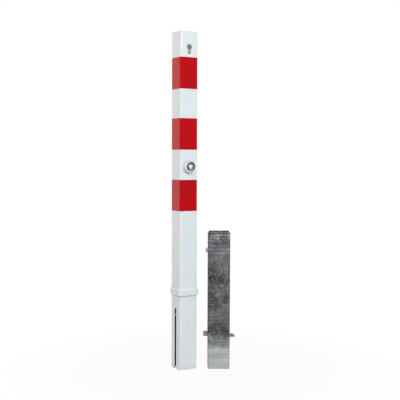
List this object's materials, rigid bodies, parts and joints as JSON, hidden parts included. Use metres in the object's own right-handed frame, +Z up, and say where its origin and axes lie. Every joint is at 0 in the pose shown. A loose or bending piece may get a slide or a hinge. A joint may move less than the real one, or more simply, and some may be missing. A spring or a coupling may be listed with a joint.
{
  "type": "removable bollard",
  "caption": "Square steel barrier post with red bands and a collar, unlocked by a triangle key or a cylinder key, standing beside the galvanised ground socket that it drops into.",
  "frame": {"origin": "on the ground, in the middle of the box around post and socket", "axes": "+Z up along the post, -Y out of the post's lock side"},
  "size_m": [0.213, 0.1404, 1.215],
  "materials": {
    "white_coat": "white powder coat, half gloss",
    "red_film": "red reflective film",
    "galvanised": "hot-dip galvanised, mottled",
    "lock_nickel": "nickel plated brass",
    "zinc_steel": "zinc plated",
    "bright_steel": "bright turned steel",
    "spring_steel": "dark oiled spring steel"
  },
  "bodies": {
    "socket": {"socket_tube": "galvanised", "cross_pin": "galvanised", "anchor_left": "galvanised", "anchor_right": "galvanised"},
    "post": {"post_tube": "white_coat", "top_cap": "white_coat", "collar": "white_coat", "red_band_upper": "red_film", "red_band_middle": "red_film", "red_band_lower": "red_film", "lock_cylinder": "lock_nickel", "cylinder_seat": "white_coat", "cylinder_screw": "zinc_steel", "lock_rosette": "bright_steel", "spindle_bush": "zinc_steel", "guide_lower": "zinc_steel", "guide_middle": "zinc_steel", "guide_upper": "zinc_steel", "pivot_pin": "white_coat", "hook_spring": "spring_steel"},
    "plug": {"cylinder_plug": "lock_nickel", "cylinder_cam": "zinc_steel"},
    "cylinder_pull": {"cylinder_rod": "zinc_steel", "cylinder_lifter": "zinc_steel"},
    "lever": {"cylinder_lever": "zinc_steel", "lever_dog": "bright_steel", "lever_pin": "bright_steel", "lever_clip": "spring_steel"},
    "spindle": {"triangle_spindle": "bright_steel", "eccentric": "zinc_steel", "spindle_nut": "zinc_steel"},
    "triangle_pull": {"triangle_rod": "zinc_steel", "rod_lug": "zinc_steel"},
    "hooks": {"hook_hub": "zinc_steel", "hook_left": "zinc_steel", "hook_right": "zinc_steel", "hook_pin": "bright_steel", "hook_clip": "spring_steel", "lever_spacer": "zinc_steel"}
  },
  "joints": [
    {"name": "post_lift", "type": "slide", "parent": "socket", "child": "post", "axis": [0, 0, 1], "range_m": [0, 0.3]},
    {"name": "plug_turn", "type": "hinge", "parent": "post", "child": "plug", "pos_m": [-0.0665, 0.0302, 1.1595], "axis": [0, 1, 0], "range_deg": [0, 30.1]},
    {"name": "cylinder_rod_lift", "type": "slide", "parent": "post", "child": "cylinder_pull", "axis": [0, 0, 1], "range_m": [0, 0.00459]},
    {"name": "lever_turn", "type": "hinge", "parent": "post", "child": "lever", "pos_m": [-0.0665, 0.0302, 0.2454], "axis": [1, 0, 0], "range_deg": [0, 11.52]},
    {"name": "spindle_turn", "type": "hinge", "parent": "post", "child": "spindle", "pos_m": [-0.0665, 0.0302, 0.734], "axis": [0, 1, 0], "range_deg": [0, 90]},
    {"name": "triangle_rod_lift", "type": "slide", "parent": "post", "child": "triangle_pull", "axis": [0, 0, 1], "range_m": [0, 0.00459]},
    {"name": "hook_turn", "type": "hinge", "parent": "lever", "child": "hooks", "pos_m": [-0.0665, 0.0302, 0.2454], "axis": [1, 0, 0], "range_deg": [0, 11.52], "stiffness_Nm_per_rad": 0.3, "springref_deg": -17.19, "deforming": ["hook_spring"]}
  ],
  "couplings": [
    {"joint": "plug_turn", "follows": "cylinder_rod_lift", "rad_per_m": 114.37},
    {"joint": "lever_turn", "follows": "cylinder_rod_lift", "rad_per_m": 43.772},
    {"joint": "spindle_turn", "follows": "triangle_rod_lift", "rad_per_m": 342.18},
    {"joint": "hook_turn", "follows": "triangle_rod_lift", "rad_per_m": 43.772}
  ]
}
